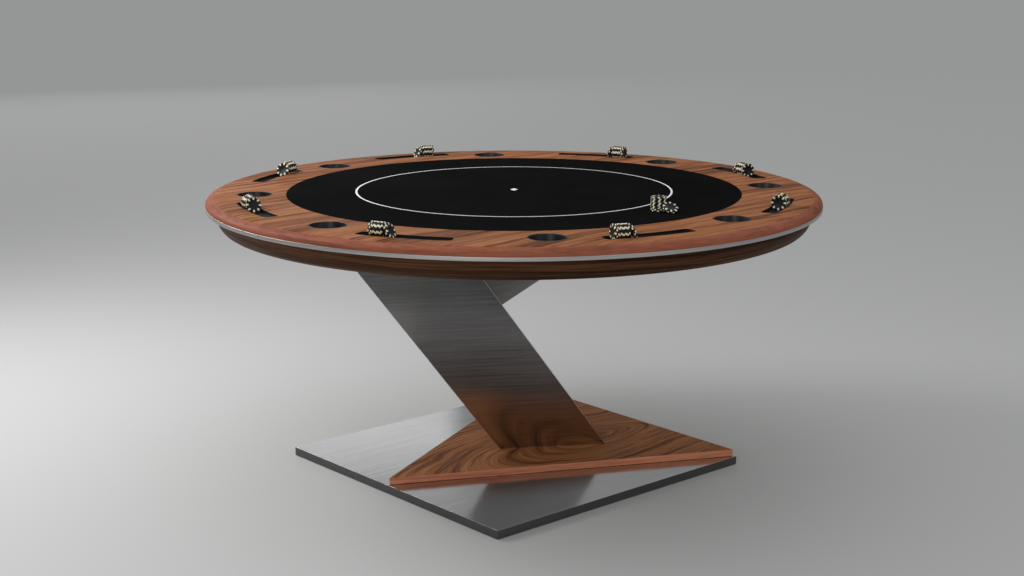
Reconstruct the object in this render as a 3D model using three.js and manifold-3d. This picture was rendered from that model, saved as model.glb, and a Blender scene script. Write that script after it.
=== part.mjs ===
// Round eight-seat poker table on a leaning steel column, with chips in its rail.
// Millimetres, +Z up. The origin is on the floor under the centre of the square base plate.
// The column leans towards -Y, and +Y is the table's plane of symmetry.
import * as THREE from 'three';
import { ConvexGeometry } from 'three/addons/geometries/ConvexGeometry.js';
import { mergeVertices } from 'three/addons/utils/BufferGeometryUtils.js';
import Module from 'manifold-3d';

const wasm = await Module();
wasm.setup();

// ---------------------------------------------------------------- driving dimensions
const TABLE_HEIGHT = 762; // to the playing cloth
const RAIL_TOP = 761;
const TABLE_RADIUS = 818;
const SEATS = 8;
const GAP = 0.3; // between separate pieces
const REST_GAP = 0.2; // under pieces that lie on others
const FAR = 1000; // past any piece, for cutting bodies

// base
const PLATE_SIDE = 870;
const PLATE_TOP = 24;
const PAD_HEIGHT = 1;
const PAD_RADIUS = 30;
const PAD_INSET = 60;
const WEDGE_THICKNESS = 19.8;
const WEDGE_TIPS = [[-5, -431], [430.3, 427.3], [-432, 433]];
const WEDGE_TIP_RADIUS = 2;
const WEDGE_TIP_STEPS = 5;
const WEDGE_TOP = PLATE_TOP + WEDGE_THICKNESS;

// column: a triangular section whose spine faces -Y, sheared towards -Y as it rises
const LEG_LEAN = 0.834; // travel along -Y for each unit of height
const LEG_SPINE_Y = -54;
const LEG_BACK_Y = 199;
const LEG_HALF_WIDTH = 160;
const LEG_PLATE = 9;
const FLANGE_THICKNESS = 12;

// keel-shaped arm behind the column's head
const ARM_KEEL_START_Z = 423;
const ARM_NOSE_Y = 430;
const ARM_NOSE_KEEL_Z = 620;
const ARM_NOSE_HALF_WIDTH = 36;
const ARM_PLATE_RISE = 20; // vertical measure of the sloping plates
const NOSE_PLATE = 8;

// top
const RAIL_INNER_RADIUS = 606.5;
const RAIL_FLAT_RADIUS = 769;
const SHOULDER_HEIGHT = 20.3;
const SHOULDER_FULLNESS = 0.77; // 1 for an ellipse, less for a fuller corner
const BAND_HEIGHT = 9.5;
const BAND_DEPTH = 5.7;
const CORE_RADIUS = 636;
const CORE_THICKNESS = 25;
const CLOTH_THICKNESS = 2.9;
const APRON_TOP_RADIUS = 793.5;
const APRON_FOOT_RADIUS = 761;
const APRON_INNER_RADIUS = 741;
const APRON_HEIGHT = 53.1;
const HEAD_PLATE_THICKNESS = 11.8;
const RING_STEPS = 72;
const CURVE_STEPS = 7;

// one seat's cup and chip slot
const SEAT_SHIFT = 0.63; // degrees that every other seat stands on or back from an even spacing
const CUP_RADIUS_AT = 689.8;
const CUP_ANGLE = 9.39;
const CUP_FLANGE_RADIUS = 47.4;
const CUP_BODY_RADIUS = 45.4;
const CUP_DEPTH = 60;
const CUP_WALL = 1.2;
const CUP_FLANGE_THICKNESS = 1.5;
const CUP_SIDES = 20;
const SLOT_RADIUS_AT = 723;
const SLOT_ANGLE = 28.8;
const SLOT_HALF_WIDTH = 20.3;
const SLOT_HALF_ANGLE = 9.45;
const SLOT_STEPS = 6;
const TROUGH_WALL = 1;
const SEGMENT_START = -0.7;

// chips
const CHIP_RADIUS = 19.5;
const CHIP_THICKNESS = 3.3;
const CHIP_SIDES = 24;
const ROW_CHIPS = 11; // standing upright
const ROW_STARTS = [7.15, 6.2, 1.95, 4.05, 2.2, 5.45, 2.95, 1.75]; // degrees from the slots' clockwise ends
const ROW_SUNK = 8;
const PROPPED_CHIPS = 2; // leaning back on the row's free end
const PROPPED_TILT = 24;
const PROPPED_BITE = 0.3; // how far they reach into the row, so that they are one body
const STACK_CHIPS = 11;
const STACK_AT = [489.5, 48.5];
const LEANING_CHIPS = 2;
const LEANING_AT = [527.6, 50.2];
const LEANING_NORMAL = [0.471, -0.131, 0.873];

// fasteners
const FOOT_BOLTS = [[0, 45], [85, 150], [-85, 150]];
const FOOT_BOLT_RADIUS = 6;
const FOOT_HEAD_RADIUS = 11;
const FOOT_HEAD_HEIGHT = 8;
const FOOT_COUNTERBORE_RADIUS = 14;
const FOOT_COUNTERBORE_TOP = 12;
const HEAD_BOLTS = [[188, -350], [-188, -350], [64, 458], [-64, 458]];
const HEAD_BOLT_RADIUS = 5;
const HEAD_BOLT_HEAD_RADIUS = 9.5;
const HEAD_BOLT_HEAD_HEIGHT = 6.5;
const HEAD_BOLT_REACH = 20; // into the core board
const BOLT_SIDES = 12;

// heights worked out from the sizes above
const BAND_TOP = RAIL_TOP - SHOULDER_HEIGHT - GAP;
const BAND_BOTTOM = BAND_TOP - BAND_HEIGHT;
const POCKET_FLOOR = BAND_TOP;
const CORE_BOTTOM = POCKET_FLOOR - CORE_THICKNESS;
const HEAD_PLATE_TOP = CORE_BOTTOM - REST_GAP;
const HEAD_PLATE_BOTTOM = HEAD_PLATE_TOP - HEAD_PLATE_THICKNESS;
const COLUMN_BOTTOM = WEDGE_TOP + REST_GAP;
const COLUMN_TOP = HEAD_PLATE_BOTTOM - REST_GAP;

// ---------------------------------------------------------------- shape helpers
const TROUGH_BOTTOM = RAIL_TOP - ROW_SUNK - REST_GAP - TROUGH_WALL;

const radians = THREE.MathUtils.degToRad;

function polar(radius, degrees) {
  return [radius * Math.cos(radians(degrees)), radius * Math.sin(radians(degrees))];
}

// A body of revolution about +Z, from [radius, height] points that climb on the outside.
function turned(profile, steps) {
  const points = profile.map(([r, z]) => new THREE.Vector2(r, z));
  return new THREE.LatheGeometry(points, steps).rotateX(Math.PI / 2);
}

function ring(profile, steps = RING_STEPS) {
  return turned([...profile, profile[0]], steps);
}

function disc(radius, low, high, steps = RING_STEPS) {
  return turned([[0, low], [radius, low], [radius, high], [0, high]], steps);
}

function discAt([x, y], radius, low, high, steps) {
  return disc(radius, low, high, steps).translate(x, y, 0);
}

function prism(shape, low, high, curveSegments = 1) {
  const options = { depth: high - low, bevelEnabled: false, curveSegments };
  return new THREE.ExtrudeGeometry(shape, options).translate(0, 0, low);
}

function polygon(points) {
  return new THREE.Shape(points.map(([x, y]) => new THREE.Vector2(x, y)));
}

// A quarter ellipse from angle `from` to `to` (degrees) about [r, z].
function arcPoints([r, z], [halfWidth, halfHeight], from, to, fullness = 1) {
  return Array.from({ length: CURVE_STEPS + 1 }, (_, i) => {
    const angle = radians(from + ((to - from) * i) / CURVE_STEPS);
    return [
      r + halfWidth * Math.cos(angle) ** fullness,
      z + halfHeight * Math.sin(angle) ** fullness,
    ];
  });
}

// A curved bar between two radii, over an angle each side of `centre`.
function arcBar(inner, outer, centre, halfAngle, low, high) {
  const from = radians(centre - halfAngle);
  const to = radians(centre + halfAngle);
  const shape = new THREE.Shape();
  shape.absarc(0, 0, outer, from, to, false);
  shape.absarc(0, 0, inner, to, from, true);
  shape.closePath();
  return prism(shape, low, high, SLOT_STEPS);
}

// A polygon with each corner rounded to `radius`.
function roundedPolygon(points, radius) {
  const shape = new THREE.Shape();
  points.forEach((point, i) => {
    const corner = new THREE.Vector2(...point);
    const before = new THREE.Vector2(...points[(i + points.length - 1) % points.length]).sub(corner);
    const after = new THREE.Vector2(...points[(i + 1) % points.length]).sub(corner);
    const halfAngle = Math.abs(Math.acos(before.dot(after) / (before.length() * after.length()))) / 2;
    const setback = radius / Math.tan(halfAngle);
    const start = corner.clone().add(before.setLength(setback));
    const end = corner.clone().add(after.setLength(setback));
    if (i === 0) shape.moveTo(start.x, start.y);
    else shape.lineTo(start.x, start.y);
    shape.quadraticCurveTo(corner.x, corner.y, end.x, end.y);
  });
  shape.closePath();
  return shape;
}

// The corners of a counter-clockwise convex polygon moved in by `distance`.
function inset(points, distance) {
  const lines = points.map(([x, y], i) => {
    const [nx, ny] = points[(i + 1) % points.length];
    const along = new THREE.Vector2(nx - x, ny - y).normalize();
    const inward = new THREE.Vector2(-along.y, along.x);
    return { point: new THREE.Vector2(x, y).addScaledVector(inward, distance), along };
  });
  return points.map((_, i) => {
    const a = lines[(i + points.length - 1) % points.length];
    const b = lines[i];
    const between = b.point.clone().sub(a.point);
    const reach = between.cross(b.along) / a.along.cross(b.along);
    return a.point.clone().addScaledVector(a.along, reach).toArray();
  });
}

function toSolid(geometry) {
  const plain = geometry.clone();
  plain.deleteAttribute('normal');
  plain.deleteAttribute('uv');
  const merged = mergeVertices(plain);
  const vertProperties = new Float32Array(merged.attributes.position.array);
  const triVerts = new Uint32Array(merged.index.array);
  return new wasm.Manifold(new wasm.Mesh({ numProp: 3, vertProperties, triVerts }));
}

function toGeometry(solid) {
  const mesh = solid.getMesh();
  const geometry = new THREE.BufferGeometry();
  geometry.setAttribute('position', new THREE.BufferAttribute(new Float32Array(mesh.vertProperties), 3));
  geometry.setIndex(new THREE.BufferAttribute(new Uint32Array(mesh.triVerts), 1));
  geometry.computeVertexNormals();
  return geometry;
}

function cut(geometry, ...cutters) {
  const solid = cutters.reduce((left, cutter) => left.subtract(toSolid(cutter)), toSolid(geometry));
  return toGeometry(solid);
}

function join(geometry, other) {
  return toGeometry(toSolid(geometry).add(toSolid(other)));
}

function common(geometry, other) {
  return toGeometry(toSolid(geometry).intersect(toSolid(other)));
}

// ---------------------------------------------------------------- materials
function material(color, roughness, metalness) {
  return new THREE.MeshStandardMaterial({ color, roughness, metalness });
}

const brushedSteel = () => material(0x8f9194, 0.38, 0.9);
const walnut = () => material(0x8e5f45, 0.45, 0);
const darkWalnut = () => material(0x4a2f20, 0.5, 0);
const board = () => material(0x7d684f, 0.85, 0);
const blackCloth = () => material(0x141414, 0.95, 0);
const blackMetal = () => material(0x0e0f10, 0.45, 0.4);
const blackRubber = () => material(0x1a1a1a, 0.9, 0);
const zincSteel = () => material(0xa3a5a8, 0.35, 0.9);
const chipClay = () => material(0x1b1b1d, 0.55, 0);

const table = new THREE.Group();

function add(name, geometry, finish, parent = table) {
  const mesh = new THREE.Mesh(geometry, finish);
  mesh.name = name;
  parent.add(mesh);
  return mesh;
}

// ---------------------------------------------------------------- base
function addBase() {
  const half = PLATE_SIDE / 2;
  const square = polygon([[-half, -half], [half, -half], [half, half], [-half, half]]);
  const plate = prism(square, PAD_HEIGHT + REST_GAP, PLATE_TOP);
  const wedgeShape = roundedPolygon(WEDGE_TIPS, WEDGE_TIP_RADIUS);
  const wedge = prism(wedgeShape, PLATE_TOP + REST_GAP, WEDGE_TOP, WEDGE_TIP_STEPS);
  const throughHoles = FOOT_BOLTS.map((at) => (
    discAt(at, FOOT_BOLT_RADIUS + GAP, -FAR, FAR, BOLT_SIDES)));
  const counterbores = FOOT_BOLTS.map((at) => (
    discAt(at, FOOT_COUNTERBORE_RADIUS, -FAR, FOOT_COUNTERBORE_TOP, BOLT_SIDES)));
  add('base_plate', cut(plate, ...throughHoles, ...counterbores), brushedSteel());
  add('base_wedge', cut(wedge, ...throughHoles), walnut());

  const reach = half - PAD_INSET;
  [[reach, -reach], [reach, reach], [-reach, reach], [-reach, -reach]].forEach((at, i) => {
    add(`floor_pad_${i + 1}`, discAt(at, PAD_RADIUS, 0, PAD_HEIGHT, CHIP_SIDES), blackRubber());
  });

  FOOT_BOLTS.forEach((at, i) => {
    const headTop = FOOT_COUNTERBORE_TOP - REST_GAP;
    const head = discAt(at, FOOT_HEAD_RADIUS, headTop - FOOT_HEAD_HEIGHT, headTop, 6);
    const shank = discAt(at, FOOT_BOLT_RADIUS, headTop - 1, WEDGE_TOP + FLANGE_THICKNESS, BOLT_SIDES);
    add(`foot_bolt_${i + 1}`, join(head, shank), zincSteel());
  });
}

// ---------------------------------------------------------------- column
// Leans a shape drawn at the wedge's top so that it follows the column as it rises.
function lean(geometry) {
  const shear = new THREE.Matrix4().set(
    1, 0, 0, 0,
    0, 1, -LEG_LEAN, LEG_LEAN * WEDGE_TOP,
    0, 0, 1, 0,
    0, 0, 0, 1,
  );
  return geometry.applyMatrix4(shear);
}

function backOfColumnY(z) {
  return LEG_BACK_Y - LEG_LEAN * (z - WEDGE_TOP);
}

function addColumn() {
  const spine = [0, LEG_SPINE_Y];
  const right = [LEG_HALF_WIDTH, LEG_BACK_Y];
  const left = [-LEG_HALF_WIDTH, LEG_BACK_Y];
  const outer = [spine, right, left];
  const inner = inset(outer, LEG_PLATE);
  const names = ['leg_front_panel', 'leg_back_panel', 'leg_rear_panel'];
  names.forEach((name, i) => {
    const next = (i + 1) % outer.length;
    const along = new THREE.Vector2(outer[next][0] - outer[i][0], outer[next][1] - outer[i][1]);
    along.setLength(GAP);
    const section = [
      [outer[i][0] + along.x, outer[i][1] + along.y],
      [outer[next][0] - along.x, outer[next][1] - along.y],
      [inner[next][0] - along.x, inner[next][1] - along.y],
      [inner[i][0] + along.x, inner[i][1] + along.y],
    ];
    add(name, lean(prism(polygon(section), COLUMN_BOTTOM, COLUMN_TOP)), brushedSteel());
  });

  const flangeTop = COLUMN_BOTTOM + FLANGE_THICKNESS;
  const flange = lean(prism(polygon(inset(inner, GAP)), COLUMN_BOTTOM, flangeTop));
  const holes = FOOT_BOLTS.map((at) => (
    discAt(at, FOOT_BOLT_RADIUS + GAP, -FAR, FAR, BOLT_SIDES)));
  add('leg_foot_flange', cut(flange, ...holes), zincSteel());
}

// ---------------------------------------------------------------- arm and head plate
function addArm() {
  const keelStartY = backOfColumnY(ARM_KEEL_START_Z) + 2 * GAP;
  const headY = backOfColumnY(COLUMN_TOP) + 2 * GAP;
  const keelStart = new THREE.Vector3(0, keelStartY, ARM_KEEL_START_Z);
  const keelEnd = new THREE.Vector3(0, ARM_NOSE_Y, ARM_NOSE_KEEL_Z);
  const corners = [
    keelStart,
    keelEnd,
    new THREE.Vector3(LEG_HALF_WIDTH, headY, COLUMN_TOP),
    new THREE.Vector3(-LEG_HALF_WIDTH, headY, COLUMN_TOP),
    new THREE.Vector3(ARM_NOSE_HALF_WIDTH, ARM_NOSE_Y, COLUMN_TOP),
    new THREE.Vector3(-ARM_NOSE_HALF_WIDTH, ARM_NOSE_Y, COLUMN_TOP),
  ];
  // The hollow is the same keel raised by the plates' vertical measure. It runs on upwards past
  // the open top, and backwards along the keel past the column's back.
  const up = new THREE.Vector3(0, 0, ARM_PLATE_RISE);
  const past = keelStart.clone().sub(keelEnd).setLength(2 * ARM_PLATE_RISE);
  const hollow = corners.flatMap((corner) => {
    const raised = corner.clone().add(up);
    return [raised, raised.clone().add(past), raised.clone().setZ(raised.z + FAR)];
  });
  const keel = cut(new ConvexGeometry(corners), new ConvexGeometry(hollow));
  const side = (from, to) => (
    new THREE.BoxGeometry(to - from, 2 * FAR, 2 * FAR).translate((from + to) / 2, 0, 0));
  add('arm_front_panel', common(keel, side(GAP / 2, FAR)), brushedSteel());
  add('arm_rear_panel', common(keel, side(-FAR, -GAP / 2)), brushedSteel());

  const noseOutline = polygon([
    [0, ARM_NOSE_KEEL_Z], [ARM_NOSE_HALF_WIDTH, COLUMN_TOP], [-ARM_NOSE_HALF_WIDTH, COLUMN_TOP],
  ]);
  const nose = prism(noseOutline, 0, NOSE_PLATE)
    .rotateX(Math.PI / 2)
    .translate(0, ARM_NOSE_Y + NOSE_PLATE + GAP, 0);
  add('arm_nose_plate', nose, brushedSteel());
}

function addHeadPlate() {
  const outline = [
    [-60, -604], [60, -604], [212, -400], [212, -310],
    [92, 482], [-92, 482], [-212, -310], [-212, -400],
  ];
  const plate = prism(polygon(outline), HEAD_PLATE_BOTTOM, HEAD_PLATE_TOP);
  const holes = HEAD_BOLTS.map((at) => (
    discAt(at, HEAD_BOLT_RADIUS + GAP, -FAR, FAR, BOLT_SIDES)));
  add('head_plate', cut(plate, ...holes), zincSteel());

  HEAD_BOLTS.forEach((at, i) => {
    const headTop = HEAD_PLATE_BOTTOM - REST_GAP;
    const head = discAt(at, HEAD_BOLT_HEAD_RADIUS, headTop - HEAD_BOLT_HEAD_HEIGHT, headTop, 6);
    const shank = discAt(at, HEAD_BOLT_RADIUS, headTop - 1, CORE_BOTTOM + HEAD_BOLT_REACH, BOLT_SIDES);
    add(`head_bolt_${i + 1}`, join(head, shank), zincSteel());
  });
}

// ---------------------------------------------------------------- top
function railRing() {
  const shoulderFoot = TABLE_RADIUS - GAP;
  const shoulder = arcPoints(
    [RAIL_FLAT_RADIUS, BAND_TOP + GAP],
    [shoulderFoot - RAIL_FLAT_RADIUS, SHOULDER_HEIGHT],
    0,
    90,
    SHOULDER_FULLNESS,
  );
  const rabbet = TABLE_RADIUS - BAND_DEPTH - GAP;
  return ring([
    [CORE_RADIUS + GAP, BAND_BOTTOM],
    [rabbet, BAND_BOTTOM],
    [rabbet, BAND_TOP + GAP],
    ...shoulder,
    [RAIL_INNER_RADIUS + GAP, RAIL_TOP],
    [RAIL_INNER_RADIUS + GAP, POCKET_FLOOR + GAP],
    [CORE_RADIUS + GAP, POCKET_FLOOR + GAP],
  ]);
}

function sector(from, to) {
  const reach = 1.1 * TABLE_RADIUS;
  const middle = radians((from + to) / 2);
  const halfGap = GAP / 2 / Math.sin(radians((to - from) / 2));
  const tip = [halfGap * Math.cos(middle), halfGap * Math.sin(middle)];
  const corner = (degrees) => {
    const [x, y] = polar(reach, degrees);
    return [x + tip[0], y + tip[1]];
  };
  return prism(polygon([tip, corner(from), corner(to)]), 0, 2 * TABLE_HEIGHT);
}

function addTop() {
  const coreHoles = HEAD_BOLTS.map((at) => (
    discAt(at, HEAD_BOLT_RADIUS + GAP, -FAR, CORE_BOTTOM + HEAD_BOLT_REACH + 1, BOLT_SIDES)));
  add('core_board', cut(disc(CORE_RADIUS, CORE_BOTTOM, POCKET_FLOOR), ...coreHoles), board());

  const bandInner = TABLE_RADIUS - BAND_DEPTH;
  add('steel_band', ring([
    [bandInner, BAND_BOTTOM], [TABLE_RADIUS, BAND_BOTTOM], [TABLE_RADIUS, BAND_TOP], [bandInner, BAND_TOP],
  ]), brushedSteel());

  const apronTop = BAND_BOTTOM - GAP;
  const apronCurve = arcPoints(
    [APRON_FOOT_RADIUS, apronTop],
    [APRON_TOP_RADIUS - APRON_FOOT_RADIUS, APRON_HEIGHT],
    -90,
    0,
  );
  add('apron_ring', ring([
    [APRON_INNER_RADIUS, apronTop - APRON_HEIGHT],
    ...apronCurve,
    [APRON_INNER_RADIUS, apronTop],
  ]), darkWalnut());

  const clothBottom = TABLE_HEIGHT - CLOTH_THICKNESS;
  const boardLow = POCKET_FLOOR + REST_GAP;
  add('playing_board', disc(RAIL_INNER_RADIUS, boardLow, clothBottom - REST_GAP), board());
  add('playing_cloth', disc(RAIL_INNER_RADIUS, clothBottom, TABLE_HEIGHT), blackCloth());
}

// ---------------------------------------------------------------- one seat
function cupGeometry() {
  const floor = RAIL_TOP - CUP_DEPTH;
  const ledge = RAIL_TOP - CUP_FLANGE_THICKNESS;
  const bore = CUP_BODY_RADIUS - CUP_WALL;
  const [x, y] = polar(CUP_RADIUS_AT, CUP_ANGLE);
  return turned([
    [0, floor], [CUP_BODY_RADIUS, floor], [CUP_BODY_RADIUS, ledge], [CUP_FLANGE_RADIUS, ledge],
    [CUP_FLANGE_RADIUS, RAIL_TOP], [bore, RAIL_TOP], [bore, floor + CUP_WALL],
    [0, floor + CUP_WALL],
  ], CUP_SIDES).translate(x, y, 0);
}

// The ring and its joints are evenly spaced, so they turn back by the seat's own `shift`.
function segmentGeometry(shift) {
  const at = polar(CUP_RADIUS_AT, CUP_ANGLE);
  const ledge = RAIL_TOP - CUP_FLANGE_THICKNESS - GAP;
  const over = RAIL_TOP + FAR;
  const start = SEGMENT_START - shift;
  return cut(
    common(railRing().rotateZ(radians(-shift)), sector(start, start + 360 / SEATS)),
    discAt(at, CUP_BODY_RADIUS + GAP, -FAR, over, CUP_SIDES),
    discAt(at, CUP_FLANGE_RADIUS + GAP, ledge, over, CUP_SIDES),
    arcBar(
      SLOT_RADIUS_AT - SLOT_HALF_WIDTH,
      SLOT_RADIUS_AT + SLOT_HALF_WIDTH,
      SLOT_ANGLE,
      SLOT_HALF_ANGLE,
      TROUGH_BOTTOM - REST_GAP,
      over,
    ),
  );
}

function troughGeometry() {
  const halfWidth = SLOT_HALF_WIDTH - GAP;
  const endGap = THREE.MathUtils.radToDeg(GAP / SLOT_RADIUS_AT);
  const wallAngle = THREE.MathUtils.radToDeg(TROUGH_WALL / SLOT_RADIUS_AT);
  const bar = (wall, angle, from, to) => arcBar(
    SLOT_RADIUS_AT - halfWidth + wall,
    SLOT_RADIUS_AT + halfWidth - wall,
    SLOT_ANGLE,
    SLOT_HALF_ANGLE - endGap - angle,
    from,
    to,
  );
  return cut(
    bar(0, 0, TROUGH_BOTTOM, RAIL_TOP),
    bar(TROUGH_WALL, wallAngle, TROUGH_BOTTOM + TROUGH_WALL, RAIL_TOP + FAR),
  );
}

// Upright chips, and two more that lean back on them from the free part of the slot.
function chipRowGeometry(startAngle) {
  const upright = ROW_CHIPS * CHIP_THICKNESS;
  const propped = PROPPED_CHIPS * CHIP_THICKNESS;
  const tilt = radians(PROPPED_TILT);
  const degreesAlong = (length) => THREE.MathUtils.radToDeg(length / SLOT_RADIUS_AT);
  const rowAngle = SLOT_ANGLE - SLOT_HALF_ANGLE + startAngle + degreesAlong(upright / 2);
  const halfLean = CHIP_RADIUS * Math.sin(tilt) + (propped / 2) * Math.cos(tilt);
  const beyond = upright / 2 - PROPPED_BITE + halfLean;
  const standing = (thickness, lean, angle) => {
    const [x, y] = polar(SLOT_RADIUS_AT, angle);
    return new THREE.CylinderGeometry(CHIP_RADIUS, CHIP_RADIUS, thickness, CHIP_SIDES)
      .rotateX(lean)
      .rotateZ(radians(angle))
      .translate(x, y, RAIL_TOP - ROW_SUNK + CHIP_RADIUS);
  };
  return join(
    standing(upright, 0, rowAngle),
    standing(propped, tilt, rowAngle + degreesAlong(beyond)),
  );
}

function addSeats() {
  const cup = cupGeometry();
  const trough = troughGeometry();
  ROW_STARTS.forEach((rowStart, i) => {
    const seat = i + 1;
    const shift = i % 2 ? SEAT_SHIFT : -SEAT_SHIFT;
    const place = new THREE.Group();
    place.rotation.z = radians((i * 360) / SEATS + shift);
    table.add(place);
    add(`rail_segment_${seat}`, segmentGeometry(shift), walnut(), place);
    add(`cup_${seat}`, cup.clone(), blackMetal(), place);
    add(`trough_${seat}`, trough.clone(), blackMetal(), place);
    add(`chip_row_${seat}`, chipRowGeometry(rowStart), chipClay(), place);
  });
}

// ---------------------------------------------------------------- loose chips on the cloth
function addLooseChips() {
  const clothTop = TABLE_HEIGHT + REST_GAP;
  const stackTop = clothTop + STACK_CHIPS * CHIP_THICKNESS;
  add('chip_stack', discAt(STACK_AT, CHIP_RADIUS, clothTop, stackTop, CHIP_SIDES), chipClay());

  const normal = new THREE.Vector3(...LEANING_NORMAL).normalize();
  const thickness = LEANING_CHIPS * CHIP_THICKNESS;
  const tilt = Math.sqrt(1 - normal.z * normal.z);
  const centreHeight = clothTop + CHIP_RADIUS * tilt + (thickness / 2) * normal.z;
  const chips = new THREE.CylinderGeometry(CHIP_RADIUS, CHIP_RADIUS, thickness, CHIP_SIDES);
  const leaning = add('leaning_chips', chips, chipClay());
  leaning.quaternion.setFromUnitVectors(new THREE.Vector3(0, 1, 0), normal);
  leaning.position.set(LEANING_AT[0], LEANING_AT[1], centreHeight);
}

addBase();
addColumn();
addArm();
addHeadPlate();
addTop();
addSeats();
addLooseChips();

export default table;
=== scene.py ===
"""Round eight-seat poker table: the looks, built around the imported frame.

Metres, +Z up. The column leans towards -Y. The seats are about 45 degrees apart, and each has a cup and
a chip slot.
"""
import math
import random

import bmesh
import bpy
from mathutils import Matrix, Vector


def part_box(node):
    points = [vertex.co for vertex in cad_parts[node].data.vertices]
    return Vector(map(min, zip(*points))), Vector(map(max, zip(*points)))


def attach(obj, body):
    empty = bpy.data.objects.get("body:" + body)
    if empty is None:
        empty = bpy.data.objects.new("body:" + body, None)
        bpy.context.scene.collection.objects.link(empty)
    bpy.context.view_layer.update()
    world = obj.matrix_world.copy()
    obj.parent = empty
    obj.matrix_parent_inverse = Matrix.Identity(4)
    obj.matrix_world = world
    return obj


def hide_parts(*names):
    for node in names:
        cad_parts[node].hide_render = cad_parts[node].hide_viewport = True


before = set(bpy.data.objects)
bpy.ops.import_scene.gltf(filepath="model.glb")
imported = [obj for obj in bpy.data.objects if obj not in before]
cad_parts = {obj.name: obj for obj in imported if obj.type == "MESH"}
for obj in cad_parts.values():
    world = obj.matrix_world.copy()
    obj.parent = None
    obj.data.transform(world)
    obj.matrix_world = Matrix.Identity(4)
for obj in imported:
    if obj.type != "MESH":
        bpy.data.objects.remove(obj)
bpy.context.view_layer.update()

# ---------------------------------------------------------------- sizes read from the frame
BAND_LOW, BAND_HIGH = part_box("steel_band")
CLOTH_LOW, CLOTH_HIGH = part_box("playing_cloth")
APRON_LOW, APRON_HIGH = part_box("apron_ring")
CUP_LOW, CUP_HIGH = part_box("cup_1")
TROUGH_LOW, TROUGH_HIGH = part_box("trough_1")
LEANING_LOW, LEANING_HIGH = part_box("leaning_chips")
STACK_LOW, STACK_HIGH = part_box("chip_stack")
CORE_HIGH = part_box("core_board")[1]

RAIL_TOP = CUP_HIGH.z
RADIUS = BAND_HIGH.x
BOARD_RADIUS = CLOTH_HIGH.x
SEATS = 8

# ---------------------------------------------------------------- sizes of the design, as in the CAD source
# The rail and what is round it. GAP is the clearance between glued parts.
GAP = 0.0003
RAIL_FLAT_RADIUS = 0.769
SHOULDER_FULLNESS = 0.77
BAND_DEPTH = 0.0057
APRON_FOOT_RADIUS = 0.761
APRON_INNER_RADIUS = 0.741

# One cup and one slot to a seat, by radius and by degrees from +X. Seats are SEAT_SHIFT degrees off
# even spacing, by turns back and on.
SEAT_SHIFT = 0.63
CUP_RADIUS_AT = 0.6898
CUP_ANGLE = 9.39
CUP_FLANGE_RADIUS = 0.0474
CUP_BODY_RADIUS = 0.0454
CUP_WALL = 0.0012
CUP_FLANGE_THICKNESS = 0.0015
SLOT_RADIUS_AT = 0.723
SLOT_ANGLE = 28.8
SLOT_HALF_WIDTH = 0.0203
SLOT_HALF_ANGLE = 9.45
TROUGH_WALL = 0.001

# Chips. A row starts ROW_STARTS degrees from the end of its slot, and stands ROW_SUNK below the rail's top.
CHIP_RADIUS = 0.0195
CHIP_PITCH = 0.0033
CHIP_HALF_THICKNESS = 0.00162
ROW_CHIPS = 11
ROW_STARTS = (7.15, 6.2, 1.95, 4.05, 2.2, 5.45, 2.95, 1.75)
ROW_SUNK = 0.008
PROPPED_CHIPS = 2
PROPPED_TILT = 24.0
STACK_CHIPS = 11
LEANING_NORMAL = Vector((0.471, -0.131, 0.873)).normalized()

# Base
WEDGE_TIPS = ((-0.005, -0.431), (0.4303, 0.4273), (-0.432, 0.433))
WEDGE_TIP_RADIUS = 0.002
BOLT_HOLE_RADIUS = 0.0065

# ---------------------------------------------------------------- sizes that only the looks have
SLOT_CORNER_RADIUS = 0.010
LIPPING_NORMAL = 0.985       # the shoulder shows its applied strip where its normal's Z is under this
EDGE_BREAK = 0.0008          # sanded corners of the rail and its holes
CUTTER_REACH = 0.02          # how far a cutter stands out past what it cuts
CHAMFER_PLATE = 0.0024
CHAMFER_LEG = 0.0012

CHIP_SEGMENTS = 72
SPOT_PERIOD = CHIP_SEGMENTS // 8
SPOT_SEGMENTS = 3
SPOT_CENTRE = SPOT_SEGMENTS / 2 * 360 / CHIP_SEGMENTS
INLAY_RADIUS = 0.0128
# Degrees that each chip is turned, from the clockwise end of a row and from the foot of the stack.
CHIP_TURNS = (0, 21, 4, 12, 3, 9, 13, 5, 8, 13, 3)
PROPPED_TURNS = (14, -6)
LEANING_TURNS = (30, 8)
STACK_SPIN = 41.0

# Printed on the cloth: a ring, and a lozenge turned MARK_TURN degrees
RING_RADIUS = 0.422
RING_WIDTH = 0.0052
MARK_TURN = 49.0
MARK_HALF = (0.0105, 0.020)

# The swirl in the wedge's figure, and the column's painted shade by height: its steel is darkened towards the
# head, standing in for the dark reflections there
CROTCH_AT = (0.11, 0.25)
CROTCH_OFFSET = 0.08
CROTCH_SLENDERNESS = 0.34
LEG_PAINTED_SHADE = ((0.12, 0.80), (0.28, 1.0), (0.40, 0.75), (0.52, 0.36), (0.64, 0.21))

LATHE_STEPS = 288
SMALL_STEPS = 72
SHARP_DEGREES = 32


# ---------------------------------------------------------------- mesh helpers
def polar(radius, degrees, z=0.0):
    angle = math.radians(degrees)
    return Vector((radius * math.cos(angle), radius * math.sin(angle), z))


def smooth_but_sharp(mesh, sharp_degrees=SHARP_DEGREES):
    for face in mesh.polygons:
        face.use_smooth = True
    mesh.set_sharp_from_angle(angle=math.radians(sharp_degrees))


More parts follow.
